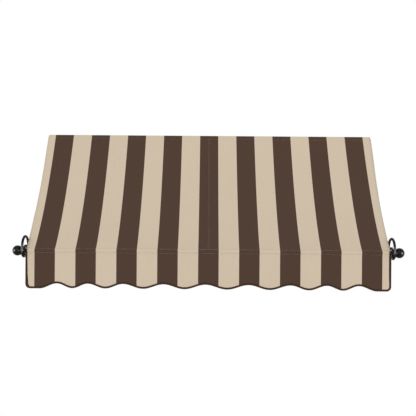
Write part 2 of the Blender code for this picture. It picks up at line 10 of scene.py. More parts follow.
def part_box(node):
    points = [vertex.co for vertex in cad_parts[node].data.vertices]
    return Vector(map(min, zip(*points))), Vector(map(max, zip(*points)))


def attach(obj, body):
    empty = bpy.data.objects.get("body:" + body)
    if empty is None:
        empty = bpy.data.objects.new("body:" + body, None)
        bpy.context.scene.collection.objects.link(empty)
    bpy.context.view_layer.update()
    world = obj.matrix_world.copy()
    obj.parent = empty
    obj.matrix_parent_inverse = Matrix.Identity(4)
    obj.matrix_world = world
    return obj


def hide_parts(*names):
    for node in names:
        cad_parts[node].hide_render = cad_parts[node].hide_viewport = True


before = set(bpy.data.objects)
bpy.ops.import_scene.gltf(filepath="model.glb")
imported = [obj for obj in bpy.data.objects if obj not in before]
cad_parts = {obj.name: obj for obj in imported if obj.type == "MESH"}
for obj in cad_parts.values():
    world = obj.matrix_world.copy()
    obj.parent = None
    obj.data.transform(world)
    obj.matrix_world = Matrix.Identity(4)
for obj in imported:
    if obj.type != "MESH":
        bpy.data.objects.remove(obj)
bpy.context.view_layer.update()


# TOP BRACKETS. Three saddles of 3 mm steel strip, each bent round a mandrel and closed on a flat
# back that is drilled for two wall screws. Forged, then enamelled black.
BLACK = (0.0040, 0.0040, 0.0042)
BLACK_PATCH, BLACK_SHADES = 0.05, (0.75, 1.35)
ENAMEL_GLOSS = 0.12
ROUGH_PATCH, ENAMEL_ROUGH = 0.02, (0.24, 0.36)
PEEL, PEEL_DEPTH = 0.0018, 0.00003
HAMMER_MARK, HAMMER_DEPTH = 0.011, 0.0012

# A Mix node's two colour sockets, by number, because its other sockets have the same names.
MIX_A, MIX_B = 6, 7


def shader_node(material, kind, **sockets):
    """A node with its sockets set. A value is written in, and an output socket is linked. Sockets
    without a name of their own are given as n0, n1 and so on."""
    made = material.node_tree.nodes.new(kind)
    for name, value in sockets.items():
        key = int(name[1:]) if name[1:].isdigit() else name.replace("_", " ")
        if isinstance(value, bpy.types.NodeSocket):
            material.node_tree.links.new(value, made.inputs[key])
        else:
            made.inputs[key].default_value = value
    return made


def calculated(material, operation, *values):
    made = shader_node(material, "ShaderNodeMath", **{f"n{i}": v for i, v in enumerate(values)})
    made.operation = operation
    return made.outputs[0]


def new_finish(name, roughness=0.5, metallic=0.0):
    material = bpy.data.materials.new(name)
    material.use_nodes = True
    shader = material.node_tree.nodes["Principled BSDF"]
    shader.inputs["Roughness"].default_value = roughness
    shader.inputs["Metallic"].default_value = metallic
    return material, shader


def join_to(material, socket, shader, name):
    material.node_tree.links.new(socket, shader.inputs[name])


def patches(material, across, detail=3.0, place=None, stretch=(1.0, 1.0, 1.0)):
    """Soft noise from 0 to 1 in patches about as wide as across, in metres."""
    place = place or shader_node(material, "ShaderNodeTexCoord").outputs["Object"]
    spread = shader_node(material, "ShaderNodeMapping", Vector=place, Scale=stretch).outputs[0]
    made = shader_node(
        material, "ShaderNodeTexNoise", Vector=spread, Scale=1.0 / across, Detail=detail
    )
    return made.outputs["Fac"]


def ranged(material, value, low, high):
    """Low to high, as the value goes from 0 to 1."""
    made = shader_node(material, "ShaderNodeMapRange", Value=value, To_Min=low, To_Max=high)
    return made.outputs[0]


def shaded(material, colour, value, low, high):
    """The colour made low to high times as bright, as the value goes from 0 to 1."""
    level = ranged(material, value, low, high)
    grey = shader_node(material, "ShaderNodeCombineColor", Red=level, Green=level, Blue=level)
    mix = shader_node(material, "ShaderNodeMix")
    mix.data_type = "RGBA"
    mix.blend_type = "MULTIPLY"
    mix.inputs["Factor"].default_value = 1.0
    material.node_tree.links.new(grey.outputs[0], mix.inputs[MIX_B])
    if isinstance(colour, bpy.types.NodeSocket):
        material.node_tree.links.new(colour, mix.inputs[MIX_A])
    else:
        mix.inputs[MIX_A].default_value = (*colour, 1.0)
    return mix.outputs[2]


def raised(material, height, distance, under=None):
    made = shader_node(material, "ShaderNodeBump", Height=height, Distance=distance)
    if under is not None:
        material.node_tree.links.new(under, made.inputs["Normal"])
    return made.outputs[0]


def black_enamel(name, hammered):
    """Stove enamel on steel, with a faint orange peel. Forged pieces show the hammer through it."""
    material, shader = new_finish(name)
    colour = shaded(material, BLACK, patches(material, BLACK_PATCH), *BLACK_SHADES)
    join_to(material, colour, shader, "Base Color")
    rough = ranged(material, patches(material, ROUGH_PATCH), *ENAMEL_ROUGH)
    join_to(material, rough, shader, "Roughness")
    skin = raised(material, patches(material, PEEL, 1.0), PEEL_DEPTH)
    if hammered:
        skin = raised(material, patches(material, HAMMER_MARK, 1.0), HAMMER_DEPTH, skin)
    join_to(material, skin, shader, "Normal")
    shader.inputs["Specular IOR Level"].default_value = ENAMEL_GLOSS
    return material


def dress(nodes, finish):
    for name in nodes:
        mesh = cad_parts[name].data
        mesh.materials.clear()
        mesh.materials.append(finish)


forged_black = black_enamel("black enamel on forged steel", True)
top_brackets = ["top_bracket_left", "top_bracket_centre", "top_bracket_right"]
dress(top_brackets, forged_black)


# SCREWS. Hexagon wood screws hold the brackets and the arms' plates on the wall, and small socket
# screws clamp the tube and the finials. All are blackened steel, a little rubbed on their edges.
SCREW_STEEL = (0.060, 0.058, 0.062)
SCREW_SHADES = (0.6, 1.4)
SCREW_ROUGH = (0.28, 0.50)
RUBBED = 0.004
RUBBED_FINER = 0.75
SCREW_GRAIN, SCREW_GRAIN_DEPTH = 0.0007, 0.00003


def screw_black():
    material, shader = new_finish("blackened screw steel", metallic=1.0)
    colour = shaded(material, SCREW_STEEL, patches(material, RUBBED), *SCREW_SHADES)
    join_to(material, colour, shader, "Base Color")
    rough = ranged(material, patches(material, RUBBED * RUBBED_FINER), *SCREW_ROUGH)
    join_to(material, rough, shader, "Roughness")
    grain = raised(material, patches(material, SCREW_GRAIN), SCREW_GRAIN_DEPTH)
    join_to(material, grain, shader, "Normal")
    return material


dress([name for name in sorted(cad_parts) if "screw" in name], screw_black())


# TOP TUBE. Drawn steel tube, 19 mm across, enamelled black. It lies in the brackets' saddles, and a
# moulded plastic plug with a small flange closes each of its ends.
TUBE_WALL = 0.0015
PLUG_FLANGE = 0.0025
PLUG_DEPTH = 0.014
PLUG_EDGE = 0.0008
EDGE_MIDDLE = 0.3
PLASTIC = (0.020, 0.020, 0.020)
PLASTIC_PATCH, PLASTIC_SHADES = 0.01, (0.8, 1.2)
PLASTIC_GRAIN, PLASTIC_GRAIN_DEPTH = 0.0005, 0.00003
PLASTIC_GLOSS = 0.15
GAP = 0.0003
ROUND = 64
SIDES = (("left", -1), ("right", 1))

top_low, top_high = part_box("top_tube")
TUBE = (top_high.z - top_low.z) / 2
TOP_AXIS = ((top_low.y + top_high.y) / 2, (top_low.z + top_high.z) / 2)


def add_piece(name, bm, finish, sharp=35.0):
    """A mesh piece on the fixed frame, smooth but for edges sharper than the angle, in degrees."""
    bmesh.ops.recalc_face_normals(bm, faces=bm.faces)
    mesh = bpy.data.meshes.new(name)
    bm.to_mesh(mesh)
    bm.free()
    mesh.shade_smooth()
    mesh.set_sharp_from_angle(angle=math.radians(sharp))
    mesh.materials.append(finish)
    piece = bpy.data.objects.new(name, mesh)
    bpy.context.scene.collection.objects.link(piece)
    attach(piece, "root")
    return piece


def turned(name, profile, side, start_x, axis, finish, closed=False):
    """Turns (radius, distance along X) pairs about a tube's axis, outwards to the right for side 1.
    A closed profile ends where it began, as a tube's wall does."""
    bm = bmesh.new()
    rings = []
    for radius, out in profile:
        x = side * (start_x + out)
        if radius == 0.0:
            rings.append([bm.verts.new((x, *axis))] * ROUND)
            continue
        ring = []
        for i in range(ROUND):
            turn = 2 * math.pi * i / ROUND
            y, z = axis[0] + radius * math.cos(turn), axis[1] + radius * math.sin(turn)
            ring.append(bm.verts.new((x, y, z)))
        rings.append(ring)
    if closed:
        rings.append(rings[0])
    for here, after in zip(rings, rings[1:]):
        for i in range(ROUND):
            j = (i + 1) % ROUND
            corners = dict.fromkeys((here[i], here[j], after[j], after[i]))
            bm.faces.new(list(corners))
    return add_piece(name, bm, finish)


def tube_profile(half):
    inner = TUBE - TUBE_WALL
    return [(TUBE, -half), (TUBE, 0.0), (TUBE, half), (inner, half), (inner, 0.0), (inner, -half)]


def plug_plastic():
    material, shader = new_finish("moulded black plastic", roughness=0.5)
    colour = shaded(material, PLASTIC, patches(material, PLASTIC_PATCH), *PLASTIC_SHADES)
    join_to(material, colour, shader, "Base Color")
    grain = raised(material, patches(material, PLASTIC_GRAIN), PLASTIC_GRAIN_DEPTH)
    join_to(material, grain, shader, "Normal")
    shader.inputs["Specular IOR Level"].default_value = PLASTIC_GLOSS
    return material


smooth_black = black_enamel("black enamel on smooth steel", False)
tube_wall = tube_profile(top_high.x)
top_tube = turned("top_roll_tube", tube_wall, 1, 0.0, TOP_AXIS, smooth_black, closed=True)
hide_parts("top_tube")

stem = TUBE - TUBE_WALL - GAP
plug_profile = [
    (0.0, PLUG_FLANGE),
    (TUBE - PLUG_EDGE, PLUG_FLANGE),
    (TUBE - PLUG_EDGE * EDGE_MIDDLE, PLUG_FLANGE - PLUG_EDGE * EDGE_MIDDLE),
    (TUBE, PLUG_FLANGE - PLUG_EDGE),
    (TUBE, 0.0),
    (stem, 0.0),
    (stem, PLUG_EDGE - PLUG_DEPTH),
    (stem - PLUG_EDGE, -PLUG_DEPTH),
    (0.0, -PLUG_DEPTH),
]
black_plastic = plug_plastic()
plug_x = top_high.x + GAP
for place, side in SIDES:
    plug = turned(f"tube_plug_{place}", plug_profile, side, plug_x, TOP_AXIS, black_plastic)
    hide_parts(f"top_tube_plug_{place}")


# ARMS. Each is one half-inch steel rod, forged hot: its end upset into a knob, a ring rolled under
# the front tube, an arch back over it, and a long run to the plate it is welded to on the wall.
ROD = 0.00635
RING = 0.029
ARCH = 0.0495
ARCH_TOP = 0.070
TOE_IN = math.atan(0.1)
ARM_DROP = 0.115
ARM_REACH = 0.25
KNOB_OUTLINE = (
    (0.0280, 0.0030),
    (0.0279, 0.0058),
    (0.0273, 0.0074),
    (0.0262, 0.0084),
    (0.0248, 0.0089),
    (0.0230, 0.0090),
    (0.0180, 0.0090),
    (0.0162, 0.0087),
    (0.0147, 0.0078),
    (0.0136, 0.0068),
    (0.0122, ROD),
)
SHANK_STEPS, RING_STEPS, LIMB_STEPS, ARCH_STEPS = 4, 48, 5, 56
FOOT_STEPS, RUN_STEPS, WELD_STEPS = 8, 80, 8
WELD = 0.004
WELD_RADIUS = 0.009
HAMMERED = 0.018
HAMMER_BLOWS = 85.0
BLOW_SPREAD = 0.01
ROD_SIDES = 28

front_low, front_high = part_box("front_tube")
plate_low, plate_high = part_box("arm_wall_plate_right")
finial_low, finial_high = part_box("finial_right")
FRONT_AXIS = ((front_low.y + front_high.y) / 2, (front_low.z + front_high.z) / 2)
COLLAR_INNER = -0.008
RING_X = finial_low.x - COLLAR_INNER
ARM_LENGTH = -(FRONT_AXIS[0] + plate_high.y - plate_low.y + GAP) / math.cos(TOE_IN)


def arm_line():
    """(back, up, radius) from knob to wall, from the front tube's axis in the arm's own plane."""
    line = [(RING, up, radius) for up, radius in KNOB_OUTLINE]
    knob_end = KNOB_OUTLINE[-1][0]
    line += [(RING, knob_end * (1 - i / SHANK_STEPS), ROD) for i in range(1, SHANK_STEPS)]
    for i in range(RING_STEPS + 1):
        turn = math.pi * i / RING_STEPS
        line.append((RING * math.cos(turn), -RING * math.sin(turn), ROD))
    arch_up = ARCH_TOP - ARCH
    line += [(-RING, arch_up * i / LIMB_STEPS, ROD) for i in range(1, LIMB_STEPS)]
    for i in range(ARCH_STEPS + 1):
        turn = math.pi * i / ARCH_STEPS
        line.append((ARCH - RING - ARCH * math.cos(turn), arch_up + ARCH * math.sin(turn), ROD))
    foot = 2 * ARCH - RING
    line += [(foot, arch_up * (1 - 2 * i / FOOT_STEPS), ROD) for i in range(1, FOOT_STEPS)]
    length = ARM_LENGTH - WELD
    corners = ((foot, -arch_up), (foot, -ARM_DROP), (ARM_REACH, -ARM_DROP), (length, -ARM_DROP))
    for i in range(RUN_STEPS + 1):
        t = i / RUN_STEPS
        shares = ((1 - t) ** 3, 3 * t * (1 - t) ** 2, 3 * t * t * (1 - t), t**3)
        back, up = (sum(s * corner[k] for s, corner in zip(shares, corners)) for k in (0, 1))
        line.append((back, up, ROD))
    for i in range(1, WELD_STEPS + 1):
        share = i / WELD_STEPS
        line.append((length + WELD * share, -ARM_DROP, ROD + (WELD_RADIUS - ROD) * share**2))
    return line


def forge(name, side):
    bm = bmesh.new()
    line = arm_line()
    bend = ARM_LENGTH - WELD
    points = []
    for back, up, _ in line:
        x = side * (RING_X - min(back, bend) * math.sin(TOE_IN))
        points.append(Vector((x, FRONT_AXIS[0] + back * math.cos(TOE_IN), FRONT_AXIS[1] + up)))
    across = Vector((side * math.cos(TOE_IN), math.sin(TOE_IN), 0.0))
    rings = []
    for i, point in enumerate(points):
        along = (points[min(i + 1, len(points) - 1)] - points[max(i - 1, 0)]).normalized()
        over = along.cross(across).normalized()
        sideways = over.cross(along)
        ring = []
        for k in range(ROD_SIDES):
            turn = 2 * math.pi * k / ROD_SIDES
            way = sideways * math.cos(turn) + over * math.sin(turn)
            dent = 1 + HAMMERED * noise.noise((point + way * BLOW_SPREAD) * HAMMER_BLOWS)
            ring.append(bm.verts.new(point + way * line[i][2] * dent))
        rings.append(ring)
    for here, after in zip(rings, rings[1:]):
        for k in range(ROD_SIDES):
            j = (k + 1) % ROD_SIDES
            bm.faces.new((here[k], here[j], after[j], after[k]))
    for ring, point in ((rings[0], points[0]), (rings[-1], points[-1])):
        middle = bm.verts.new(point)
        for k in range(ROD_SIDES):
            bm.faces.new((ring[k], ring[(k + 1) % ROD_SIDES], middle))
    return add_piece(name, bm, forged_black, sharp=60.0)


arms = []
for place, side in SIDES:
    arm = forge(f"forged_arm_{place}", side)
    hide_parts(f"arm_{place}")
    arms.append(arm)


# WALL PLATES. Flat steel bar with half-round ends, drilled above and below the weld for two wall
# screws, its front edge eased with a file.
dress(["arm_wall_plate_left", "arm_wall_plate_right"], forged_black)


# FRONT TUBE. The same drawn tube as the top one, a little longer, so that it reaches through both
# arms' rings into the finials.
tube_wall = tube_profile(front_high.x)
front_tube = turned("front_roll_tube", tube_wall, 1, 0.0, FRONT_AXIS, smooth_black, closed=True)
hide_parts("front_tube")


# FINIALS. Turned from solid steel: a collar that fills the arm's ring, a short neck and a ball.
# Each is bored to slip over the tube and held by a set screw from behind.
COLLAR_OUTER = 0.0155
COLLAR_EDGE = 0.001
COLLAR_PLAY = 0.0006
COLLAR = RING - ROD - COLLAR_PLAY
NECK = 0.0203
BALL = (finial_high.z - finial_low.z) / 2
BALL_CENTRE = finial_high.x - BALL - RING_X
BORE = TUBE + GAP
BORE_END = 0.017
SCREW_HOLE = 0.0028
BALL_STEPS = 44

ball_turn = math.pi - math.asin(NECK / BALL)
finial_profile = [(0.0, BALL_CENTRE + BALL)]
for i in range(1, BALL_STEPS + 1):
    turn = ball_turn * i / BALL_STEPS
    finial_profile.append((BALL * math.sin(turn), BALL_CENTRE + BALL * math.cos(turn)))
finial_profile += [
    (NECK, COLLAR_OUTER),
    (COLLAR - COLLAR_EDGE, COLLAR_OUTER),
    (COLLAR - COLLAR_EDGE * EDGE_MIDDLE, COLLAR_OUTER - COLLAR_EDGE * EDGE_MIDDLE),
    (COLLAR, COLLAR_OUTER - COLLAR_EDGE),
    (COLLAR, COLLAR_INNER + COLLAR_EDGE),
    (COLLAR - COLLAR_EDGE * EDGE_MIDDLE, COLLAR_INNER + COLLAR_EDGE * EDGE_MIDDLE),
    (COLLAR - COLLAR_EDGE, COLLAR_INNER),
    (BORE, COLLAR_INNER),
    (BORE, BORE_END),
    (0.0, BORE_END),
]


def drill(piece, start, end, radius):
    """Bores a round hole along Y through a piece."""
    bm = bmesh.new()
    bmesh.ops.create_cone(
        bm, cap_ends=True, segments=24, radius1=radius, radius2=radius, depth=(end - start).length
    )
    mesh = bpy.data.meshes.new("drill")
    bm.to_mesh(mesh)
    bm.free()
    bit = bpy.data.objects.new("drill", mesh)
    bpy.context.scene.collection.objects.link(bit)
    bit.rotation_euler = (math.pi / 2, 0.0, 0.0)
    bit.location = (start + end) / 2
    hole = piece.modifiers.new("hole", "BOOLEAN")
    hole.object = bit
    hole.operation = "DIFFERENCE"
    hole.solver = "EXACT"
    bpy.context.view_layer.update()
    graph = bpy.context.evaluated_depsgraph_get()
    drilled = bpy.data.meshes.new_from_object(piece.evaluated_get(graph))
    piece.modifiers.clear()
    piece.data = drilled
    bpy.data.objects.remove(bit)


screw_low, screw_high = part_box("finial_set_screw_right")
finials = []
for place, side in SIDES:
    finial = turned(f"ball_finial_{place}", finial_profile, side, RING_X, FRONT_AXIS, smooth_black)
    screw_x = side * (screw_low.x + screw_high.x) / 2
    outside = Vector((screw_x, FRONT_AXIS[0] + COLLAR + COLLAR_EDGE, FRONT_AXIS[1]))
    inside = Vector((screw_x, FRONT_AXIS[0] + TUBE, FRONT_AXIS[1]))
    drill(finial, inside, outside, SCREW_HOLE)
    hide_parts(f"finial_{place}")
    finials.append(finial)


# CANOPY. Two widths of acrylic canvas, dyed in the yarn in hand-wide brown and tan blocks, joined
# by a felled seam in the middle of a brown block. Its top is turned over the top tube and sewn into
# a pocket that is cut open at the brackets, and between the tubes it sags.
STRIPE = 0.1016
CANVAS = 0.0008
LAYER = CANVAS + GAP
WARP, WEFT, WEAVE_DEPTH = 0.00042, 0.00058, 0.0001
WARP_SLUBS = (420.0, 9.0, 1.0)
WEFT_SLUBS = (9.0, 300.0, 1.0)
CROWN_PAINTED_SHADE, WARP_SHADES, WEFT_SHADES = (0.93, 1.05), (0.95, 1.05), (0.96, 1.04)
CROSSING_HEIGHT = 0.3
BLOCK_BLUR = 0.012
FADED_PATCH, FADED_SHADES = 0.35, (0.97, 1.03)
SHEEN, SHEEN_ROUGH = 0.03, 0.6
BROWN = (0.0831, 0.0503, 0.0357)
TAN = (0.642, 0.536, 0.409)
SAG = 0.056
HANG_TRIES = 30
SLACK, SLACK_FADE = 0.0016, 0.7
SLACK_WAVES, SLACK_LAYER = (2.3, 2.1), 4.0
POCKET_REACH = 0.020
POCKET_LAP = 0.012
FRONT_WRAP = math.radians(16)
SADDLE = 0.0128
SADDLE_LIP = math.radians(345)
SADDLE_TOP = math.radians(150)
NOTCH_PLAY = 0.003
SEAM_HALF = 0.0028
SEAM_FADE = 0.001
SEAM_RISE, SEAM_ENDS = 0.0006, 12
LEFT_STRAY = ((0.05, 0.0), (0.18, 0.0020), (0.32, 0.0026), (0.50, 0.0008), (0.62, 0.0))
RIGHT_STRAY = ((0.45, 0.0), (0.65, 0.0018), (0.86, 0.0048))
NIP = 0.008
NIP_REACH = 0.026
CLOTH_MAP = "cloth"
SLOPE_ROWS = 72
ACROSS_STEPS, LEAST_STEP = 132, 0.003
TURN_STEPS, WRAP_STEPS = 44, 4

CANOPY_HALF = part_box("canopy_panel_right")[1].x
AROUND = TUBE + GAP + CANVAS / 2


def cloth_place(material):
    """Where a spot lies on its own cloth: metres across the roll from the middle, and along it."""
    place = shader_node(material, "ShaderNodeUVMap")
    place.uv_map = CLOTH_MAP
    return place.outputs[0]


def woven(material, shader, colour, warp, weft, depth):
    """A plain weave: each yarn goes over the next and under the one after, and none is even."""
    place = cloth_place(material)
    across, along = shader_node(material, "ShaderNodeSeparateXYZ", Vector=place).outputs[:2]
    over = calculated(material, "SINE", calculated(material, "MULTIPLY", across, math.pi / warp))
    under = calculated(material, "SINE", calculated(material, "MULTIPLY", along, math.pi / weft))
    crossing = calculated(material, "MULTIPLY", over, under)
    crown = calculated(material, "ABSOLUTE", crossing)
    warp_slubs = patches(material, 1.0, 2.0, place, WARP_SLUBS)
    weft_slubs = patches(material, 1.0, 2.0, place, WEFT_SLUBS)
    # Painted shade: the colour is darker in the dips between crossings and lighter on the yarns'
    # crowns.
    colour = shaded(material, colour, crown, *CROWN_PAINTED_SHADE)
    colour = shaded(material, colour, warp_slubs, *WARP_SHADES)
    colour = shaded(material, colour, weft_slubs, *WEFT_SHADES)
    join_to(material, colour, shader, "Base Color")
    height = calculated(material, "MULTIPLY_ADD", crossing, CROSSING_HEIGHT, crown)
    join_to(material, raised(material, height, depth), shader, "Normal")


def striped_canvas():
    material, shader = new_finish("striped acrylic canvas", roughness=0.88)
    across = shader_node(material, "ShaderNodeSeparateXYZ", Vector=cloth_place(material)).outputs[0]
    turn = calculated(material, "MULTIPLY", across, math.pi / STRIPE)
    wave = calculated(material, "COSINE", turn)
    block = shader_node(
        material, "ShaderNodeMapRange", Value=wave, From_Min=-BLOCK_BLUR, From_Max=BLOCK_BLUR
    )
    dyed = shader_node(material, "ShaderNodeMix")
    dyed.data_type = "RGBA"
    material.node_tree.links.new(block.outputs[0], dyed.inputs["Factor"])
    dyed.inputs[MIX_A].default_value = (*TAN, 1.0)
    dyed.inputs[MIX_B].default_value = (*BROWN, 1.0)
    colour = shaded(material, dyed.outputs[2], patches(material, FADED_PATCH), *FADED_SHADES)
    woven(material, shader, colour, WARP, WEFT, WEAVE_DEPTH)
    shader.inputs["Specular IOR Level"].default_value = 0.0
    shader.inputs["Sheen Weight"].default_value = SHEEN
    shader.inputs["Sheen Roughness"].default_value = SHEEN_ROUGH
    return material


def on_circle(centre, radius, angle):
    """A (Y, Z) point: angle 0 faces the front, and a quarter turn faces up."""
    return (centre[0] - radius * math.cos(angle), centre[1] + radius * math.sin(angle))


def bent(centre, radius, start, end, steps):
    """The points of an arc, from one angle to another."""
    turn = (end - start) / steps
    return [on_circle(centre, radius, start + turn * i) for i in range(steps + 1)]


def hang_canopy():
    """Where the sagging canvas leaves the tubes: both angles, the front point, run and climb. The
    angles depend on the slope between them, so they are worked out again until they settle."""
    front_angle = top_angle = math.radians(45)
    for _ in range(HANG_TRIES):
        front = on_circle(FRONT_AXIS, AROUND, front_angle)
        top = on_circle(TOP_AXIS, AROUND, top_angle)
        run, climb = top[0] - front[0], top[1] - front[1]
        front_angle = math.pi / 2 - math.atan((climb - 4 * SAG) / run)
        top_angle = math.pi / 2 - math.atan((climb + 4 * SAG) / run)
    return front_angle, top_angle, front, run, climb


FRONT_ANGLE, TOP_ANGLE, SLOPE_FOOT, RUN, CLIMB = hang_canopy()


def slope_point(share, out=0.0):
    """A (Y, Z) point on the slope, from 0 at the front tube to 1 at the top tube."""
    y = SLOPE_FOOT[0] + RUN * share
    z = SLOPE_FOOT[1] + CLIMB * share - 4 * SAG * share * (1 - share)
    tilt = math.atan((CLIMB - 4 * SAG * (1 - 2 * share)) / RUN)
    return (y - out * math.sin(tilt), z + out * math.cos(tilt))


def share_of(distance, angle):
    return distance * math.sin(angle) / RUN


def top_pocket():
    """The hem under the slope, then the turn round the tube from below and behind to its top."""
    lap = slope_point(1 - share_of(POCKET_REACH + POCKET_LAP, TOP_ANGLE), -LAYER)
    stitch = slope_point(1 - share_of(POCKET_REACH, TOP_ANGLE), -LAYER)
    forward, up = TOP_AXIS[0] - stitch[0], stitch[1] - TOP_AXIS[1]
    meets = math.atan2(up, forward) - math.acos(AROUND / math.hypot(forward, up))
    middle = ((lap[0] + stitch[0]) / 2, (lap[1] + stitch[1]) / 2)
    round_tube = bent(TOP_AXIS, AROUND, meets, TOP_ANGLE - 2 * math.pi, TURN_STEPS)
    return [lap, middle, stitch] + round_tube


def evenly(half, steps):
    """Even places across the awning, from minus a half width to plus it."""
    return [half * (2 * i / steps - 1) for i in range(steps + 1)]


def distances(path):
    """How far along a path each of its points lies."""
    total = [0.0]
    for here, after in zip(path, path[1:]):
        total.append(total[-1] + math.dist(here, after))
    return total


def cloth(name, rows, finish, thickness=CANVAS, left_out=None):
    """A sheet from rows of (point, (across, along)). left_out says which spots are cut away."""
    bm = bmesh.new()
    layer = bm.loops.layers.uv.new(CLOTH_MAP)
    grid = [[bm.verts.new(point) for point, _ in row] for row in rows]
    for r in range(len(rows) - 1):
        for c in range(len(rows[r]) - 1):
            spots = ((r, c), (r, c + 1), (r + 1, c + 1), (r + 1, c))
            centre = sum((grid[i][j].co for i, j in spots), Vector()) / 4
            if left_out and left_out(centre):
                continue
            face = bm.faces.new([grid[i][j] for i, j in spots])
            face.smooth = True
            for loop, (i, j) in zip(face.loops, spots):
                loop[layer].uv = rows[i][j][1]
    loose = [vert for vert in bm.verts if not vert.link_faces]
    bmesh.ops.delete(bm, geom=loose, context="VERTS")
    mesh = bpy.data.meshes.new(name)
    bm.to_mesh(mesh)
    bm.free()
    mesh.materials.append(finish)
    piece = bpy.data.objects.new(name, mesh)
    bpy.context.scene.collection.objects.link(piece)
    body = piece.modifiers.new("thickness of the cloth", "SOLIDIFY")
    body.thickness = thickness
    body.offset = 0.0
    body.use_even_offset = True
    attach(piece, "root")
    return piece


def slack(x, share):
    """How far the hung canvas stands off its true curve: unevenness that both tubes pull out."""
    fade = math.sin(math.pi * min(max(share, 0.0), 1.0)) ** SLACK_FADE
    spot = Vector((x * SLACK_WAVES[0], share * SLACK_WAVES[1], SLACK_LAYER))
    return SLACK * fade * noise.noise(spot)


def seam_rise(x, share):
    """The felled seam has more layers of canvas, and lies flat where it goes over the tubes."""
    band = min(max((SEAM_HALF + SEAM_FADE - abs(x)) / SEAM_FADE, 0.0), 1.0)
    from_end = min(max(SEAM_ENDS * share, 0.0), max(SEAM_ENDS * (1 - share), 0.0), 1.0)
    return SEAM_RISE * band * from_end


def eased(table, spot):
    """The value at a spot, from (spot, value) pairs in order, with soft steps between them."""
    for (low, before), (high, after) in zip(table, table[1:]):
        if spot < high:
            part = max((spot - low) / (high - low), 0.0)
            return before + (after - before) * part * part * (3 - 2 * part)
    return table[-1][1]


def side_edge(side, share):
    """Where the side edge runs. Folded by hand, it strays outwards by a few millimetres."""
    return side * (CANOPY_HALF + eased(LEFT_STRAY if side < 0 else RIGHT_STRAY, share))


def nipped(along):
    """How far the pocket's open ends are drawn in, which rounds the canopy's upper corners."""
    if along > tube_top_along:
        return NIP * max(1 - (along - tube_top_along) / NIP_REACH, 0.0) ** 2
    return NIP * min(max((along - canopy_along[2]) / NIP_REACH, 0.0), 1.0)


def at_bracket(point):
    """Whether a spot of the pocket lies where a bracket reaches in to the tube."""
    lip = on_circle(TOP_AXIS, SADDLE, SADDLE_LIP)
    saddle_top = on_circle(TOP_AXIS, SADDLE, SADDLE_TOP)[1] + NOTCH_PLAY
    if not any(low.x - NOTCH_PLAY < point.x < high.x + NOTCH_PLAY for low, high in bracket_boxes):
        return False
    under = point.y > lip[0] - NOTCH_PLAY and point.z < lip[1]
    behind = point.y > TOP_AXIS[0] + AROUND / 2 and point.z < saddle_top
    return under or behind


bracket_boxes = [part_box(name) for name in top_brackets]
canopy_path = top_pocket()
pocket_rows = len(canopy_path)
canopy_path += [slope_point(1 - i / SLOPE_ROWS) for i in range(1, SLOPE_ROWS)]
canopy_path += bent(FRONT_AXIS, AROUND, FRONT_ANGLE, FRONT_ANGLE - FRONT_WRAP, WRAP_STEPS)
canopy_along = distances(canopy_path)
tube_top_along = canopy_along[max(range(pocket_rows), key=lambda i: canopy_path[i][1])]
cut_lines = {0.0, SEAM_HALF, SEAM_HALF + SEAM_FADE, -SEAM_HALF, -SEAM_HALF - SEAM_FADE}
for low, high in bracket_boxes:
    cut_lines |= {low.x - NOTCH_PLAY, high.x + NOTCH_PLAY}
clear = set()
for x in evenly(CANOPY_HALF, ACROSS_STEPS):
    if min(abs(x - line) for line in cut_lines) > LEAST_STEP:
        clear.add(x)
canopy_across = sorted(cut_lines | clear)
canopy_rows = []
for i, (y, z) in enumerate(canopy_path):
    share = 1 - (i - pocket_rows + 1) / SLOPE_ROWS
    row = []
    for x in canopy_across:
        if 0.0 < share < 1.0:
            y, z = slope_point(share, slack(x, share) + seam_rise(x, share))
        row.append(((x, y, z), (x, canopy_along[i])))
    for end, side in ((0, -1), (-1, 1)):
        edge = side_edge(side, share)
        (_, y, z), _ = row[end]
        row[end] = ((edge - side * nipped(canopy_along[i]), y, z), (edge, canopy_along[i]))
    canopy_rows.append(row)
canvas = striped_canvas()
canopy = cloth("canopy", canopy_rows, canvas, left_out=at_bracket)
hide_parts("canopy_panel_left", "canopy_panel_right")


# SIDE HEMS. The canopy's side edges are folded under once, about a finger wide, and sewn down from
# the top pocket to the front one.
HEM = 0.020
HEM_START = 0.0005
HEM_TUCK = 0.0002
HEM_STEPS, HEM_FIRST_ROW = 4, 3

hem_start = POCKET_REACH + POCKET_LAP + HEM_START
hem_places = [(1 - share_of(hem_start, TOP_ANGLE), canopy_along[pocket_rows - 1] + hem_start)]
for i in range(HEM_FIRST_ROW, SLOPE_ROWS - 1):
    hem_places.append((1 - i / SLOPE_ROWS, canopy_along[pocket_rows - 1 + i]))
for place, side in SIDES:
    rows = []
    for share, along in hem_places:
        row = []
        fold = side_edge(side, share)
        for k in range(HEM_STEPS + 1):
            x = fold - side * (HEM_TUCK + HEM * k / HEM_STEPS)
            y, z = slope_point(share, slack(x, share) - LAYER)
            row.append(((x, y, z), (fold + side * HEM * k / HEM_STEPS, along)))
        rows.append(row)
    hem = cloth(f"canopy_side_hem_{place}", rows, canvas)


# SLEEVE. A narrow strip of the same canvas behind the front tube. It is caught in both rows of
# stitches of the front pocket and closes it from behind.
SLEEVE_TUCK = math.radians(15)
POCKET_TURN = math.radians(40)
SLEEVE_STEPS = 60

behind_tube = FRONT_ANGLE + math.acos(AROUND / (AROUND + LAYER))
sleeve_end = 2 * math.pi - POCKET_TURN + SLEEVE_TUCK
sleeve_path = bent(FRONT_AXIS, AROUND, behind_tube, sleeve_end, TURN_STEPS)
sleeve_along = distances(sleeve_path)
sleeve_rows = []
for (y, z), along in zip(sleeve_path, sleeve_along):
    sleeve_rows.append([((x, y, z), (x, along)) for x in evenly(CANOPY_HALF, SLEEVE_STEPS)])
sleeve = cloth("front_sleeve", sleeve_rows, canvas)
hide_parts("front_pocket_sleeve")


